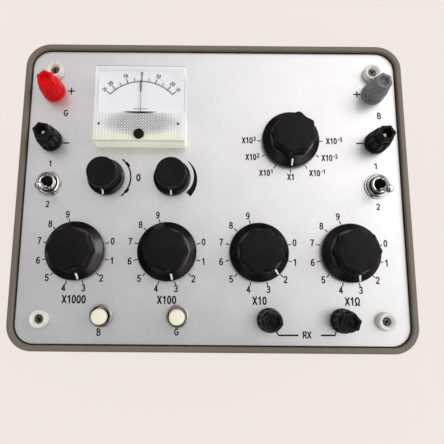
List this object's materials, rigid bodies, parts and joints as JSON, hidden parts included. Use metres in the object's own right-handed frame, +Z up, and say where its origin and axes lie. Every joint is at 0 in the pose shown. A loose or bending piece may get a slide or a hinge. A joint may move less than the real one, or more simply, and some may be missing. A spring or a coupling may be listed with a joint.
{
  "type": "direct-current resistance bridge",
  "caption": "Portable direct-current resistance bridge: decade and ratio knobs, a centre-zero meter, toggle switches, push-buttons and screw binding posts on a flat panel in a case.",
  "frame": {"origin": "on the table under the middle of the case", "axes": "+X to the right along the panel's length, +Y away from the user, +Z up out of the panel"},
  "size_m": [0.28, 0.224, 0.1273],
  "materials": {
    "taupe_moulding": "satin moulded plastic, warm taupe",
    "satin_aluminium": "fine satin, with dark printed scales",
    "black_moulding": "moulded black, soft gloss",
    "cream_moulding": "moulded cream, soft gloss",
    "red_moulding": "moulded red, glossy",
    "grey_moulding": "moulded grey, soft gloss",
    "clear_acrylic": "clear moulded acrylic, polished",
    "white_dial": "matt white enamel with a black scale",
    "chrome": "bright chrome plate",
    "plated_steel": "zinc-plated steel",
    "brass": "turned brass",
    "phenolic": "brown laminated switch wafers",
    "board_green": "green lacquered circuit board",
    "battery_wrap": "plain blue sleeve over metal cans"
  },
  "bodies": {
    "bridge": {"case": "taupe_moulding", "battery_cover": "taupe_moulding", "battery_pack": "battery_wrap", "nine_volt_battery": "black_moulding", "front_panel": "satin_aluminium", "screw_cup_rear_left": "cream_moulding", "screw_cup_rear_right": "cream_moulding", "screw_cup_front_left": "cream_moulding", "screw_cup_front_right": "cream_moulding", "amplifier_board": "board_green", "meter_base": "black_moulding", "meter_magnet": "plated_steel", "meter_dial": "white_dial", "meter_cover": "clear_acrylic", "x1000_switch": "phenolic", "x100_switch": "phenolic", "x10_switch": "phenolic", "x1_switch": "phenolic", "ratio_switch": "phenolic", "left_toggle_body": "plated_steel", "right_toggle_body": "plated_steel", "b_button_housing": "chrome", "g_button_housing": "chrome", "red_post_base": "red_moulding", "left_black_post_base": "black_moulding", "grey_post_base": "grey_moulding", "right_black_post_base": "black_moulding", "rx_left_post_base": "black_moulding", "rx_right_post_base": "black_moulding"},
    "x1000_dial": {"x1000_knob": "black_moulding", "x1000_shaft": "plated_steel"},
    "x100_dial": {"x100_knob": "black_moulding", "x100_shaft": "plated_steel"},
    "x10_dial": {"x10_knob": "black_moulding", "x10_shaft": "plated_steel"},
    "x1_dial": {"x1_knob": "black_moulding", "x1_shaft": "plated_steel"},
    "ratio_dial": {"ratio_knob": "black_moulding", "ratio_shaft": "plated_steel"},
    "zero_control": {"zero_knob": "black_moulding"},
    "sensitivity_control": {"sensitivity_knob": "black_moulding"},
    "left_toggle": {"left_toggle_lever": "chrome"},
    "right_toggle": {"right_toggle_lever": "chrome"},
    "b_button": {"b_button_cap": "cream_moulding"},
    "g_button": {"g_button_cap": "cream_moulding"},
    "meter_movement": {"meter_needle": "black_moulding"},
    "zero_adjuster": {"meter_zero_screw": "black_moulding"},
    "red_post_washer": {"red_post_clamp": "brass"},
    "red_post_head": {"red_post_cap": "red_moulding"},
    "left_black_post_washer": {"left_black_post_clamp": "brass"},
    "left_black_post_head": {"left_black_post_cap": "black_moulding"},
    "grey_post_washer": {"grey_post_clamp": "brass"},
    "grey_post_head": {"grey_post_cap": "grey_moulding"},
    "right_black_post_washer": {"right_black_post_clamp": "brass"},
    "right_black_post_head": {"right_black_post_cap": "black_moulding"},
    "rx_left_post_washer": {"rx_left_post_clamp": "brass"},
    "rx_left_post_head": {"rx_left_post_cap": "black_moulding"},
    "rx_right_post_washer": {"rx_right_post_clamp": "brass"},
    "rx_right_post_head": {"rx_right_post_cap": "black_moulding"}
  },
  "joints": [
    {"name": "x1000_turn", "type": "hinge", "parent": "bridge", "child": "x1000_dial", "pos_m": [-0.096, -0.044, 0.105], "axis": [0, 0, 1], "range_deg": [-180, 90]},
    {"name": "x100_turn", "type": "hinge", "parent": "bridge", "child": "x100_dial", "pos_m": [-0.032, -0.044, 0.105], "axis": [0, 0, 1], "range_deg": [-180, 90]},
    {"name": "x10_turn", "type": "hinge", "parent": "bridge", "child": "x10_dial", "pos_m": [0.032, -0.044, 0.105], "axis": [0, 0, 1], "range_deg": [-210, 60]},
    {"name": "x1_turn", "type": "hinge", "parent": "bridge", "child": "x1_dial", "pos_m": [0.096, -0.044, 0.105], "axis": [0, 0, 1], "range_deg": [-180, 90]},
    {"name": "ratio_turn", "type": "hinge", "parent": "bridge", "child": "ratio_dial", "pos_m": [0.056, 0.038, 0.105], "axis": [0, 0, 1], "range_deg": [-90, 90]},
    {"name": "zero_turn", "type": "hinge", "parent": "bridge", "child": "zero_control", "pos_m": [-0.077, 0.0095, 0.105], "axis": [0, 0, 1], "range_deg": [-150, 150]},
    {"name": "sensitivity_turn", "type": "hinge", "parent": "bridge", "child": "sensitivity_control", "pos_m": [-0.0295, 0.0095, 0.105], "axis": [0, 0, 1], "range_deg": [-150, 150]},
    {"name": "left_toggle_throw", "type": "hinge", "parent": "bridge", "child": "left_toggle", "pos_m": [-0.118, 0.0045, 0.1015], "axis": [-1, 0, 0], "range_deg": [0, 31]},
    {"name": "right_toggle_throw", "type": "hinge", "parent": "bridge", "child": "right_toggle", "pos_m": [0.118, 0.0045, 0.1015], "axis": [-1, 0, 0], "range_deg": [0, 31]},
    {"name": "b_button_press", "type": "slide", "parent": "bridge", "child": "b_button", "axis": [0, 0, -1], "range_m": [0, 0.0025], "stiffness_N_per_m": 300, "springref_m": -0.003},
    {"name": "g_button_press", "type": "slide", "parent": "bridge", "child": "g_button", "axis": [0, 0, -1], "range_m": [0, 0.0025], "stiffness_N_per_m": 300, "springref_m": -0.003},
    {"name": "needle_swing", "type": "hinge", "parent": "bridge", "child": "meter_movement", "pos_m": [-0.0524, 0.0488, 0.105], "axis": [0, 0, 1], "range_deg": [-48, 48], "stiffness_Nm_per_rad": 0.000002},
    {"name": "zero_adjuster_turn", "type": "hinge", "parent": "bridge", "child": "zero_adjuster", "pos_m": [-0.0524, 0.0368, 0.105], "axis": [0, 0, 1], "range_deg": [-60, 60]},
    {"name": "red_post_lift", "type": "slide", "parent": "bridge", "child": "red_post_washer", "axis": [0, 0, 1], "range_m": [0, 0.004]},
    {"name": "red_post_turn", "type": "hinge", "parent": "red_post_washer", "child": "red_post_head", "pos_m": [-0.1185, 0.075, 0.105], "axis": [0, 0, 1], "range_deg": [0, 1440]},
    {"name": "left_black_post_lift", "type": "slide", "parent": "bridge", "child": "left_black_post_washer", "axis": [0, 0, 1], "range_m": [0, 0.004]},
    {"name": "left_black_post_turn", "type": "hinge", "parent": "left_black_post_washer", "child": "left_black_post_head", "pos_m": [-0.1185, 0.0368, 0.105], "axis": [0, 0, 1], "range_deg": [0, 1440]},
    {"name": "grey_post_lift", "type": "slide", "parent": "bridge", "child": "grey_post_washer", "axis": [0, 0, 1], "range_m": [0, 0.004]},
    {"name": "grey_post_turn", "type": "hinge", "parent": "grey_post_washer", "child": "grey_post_head", "pos_m": [0.1185, 0.075, 0.105], "axis": [0, 0, 1], "range_deg": [0, 1440]},
    {"name": "right_black_post_lift", "type": "slide", "parent": "bridge", "child": "right_black_post_washer", "axis": [0, 0, 1], "range_m": [0, 0.004]},
    {"name": "right_black_post_turn", "type": "hinge", "parent": "right_black_post_washer", "child": "right_black_post_head", "pos_m": [0.1185, 0.0368, 0.105], "axis": [0, 0, 1], "range_deg": [0, 1440]},
    {"name": "rx_left_post_lift", "type": "slide", "parent": "bridge", "child": "rx_left_post_washer", "axis": [0, 0, 1], "range_m": [0, 0.004]},
    {"name": "rx_left_post_turn", "type": "hinge", "parent": "rx_left_post_washer", "child": "rx_left_post_head", "pos_m": [0.0385, -0.0902, 0.105], "axis": [0, 0, 1], "range_deg": [0, 1440]},
    {"name": "rx_right_post_lift", "type": "slide", "parent": "bridge", "child": "rx_right_post_washer", "axis": [0, 0, 1], "range_m": [0, 0.004]},
    {"name": "rx_right_post_turn", "type": "hinge", "parent": "rx_right_post_washer", "child": "rx_right_post_head", "pos_m": [0.0885, -0.0902, 0.105], "axis": [0, 0, 1], "range_deg": [0, 1440]}
  ],
  "couplings": [
    {"joint": "red_post_turn", "follows": "red_post_lift", "rad_per_m": 6283.2},
    {"joint": "left_black_post_turn", "follows": "left_black_post_lift", "rad_per_m": 6283.2},
    {"joint": "grey_post_turn", "follows": "grey_post_lift", "rad_per_m": 6283.2},
    {"joint": "right_black_post_turn", "follows": "right_black_post_lift", "rad_per_m": 6283.2},
    {"joint": "rx_left_post_turn", "follows": "rx_left_post_lift", "rad_per_m": 6283.2},
    {"joint": "rx_right_post_turn", "follows": "rx_right_post_lift", "rad_per_m": 6283.2}
  ]
}
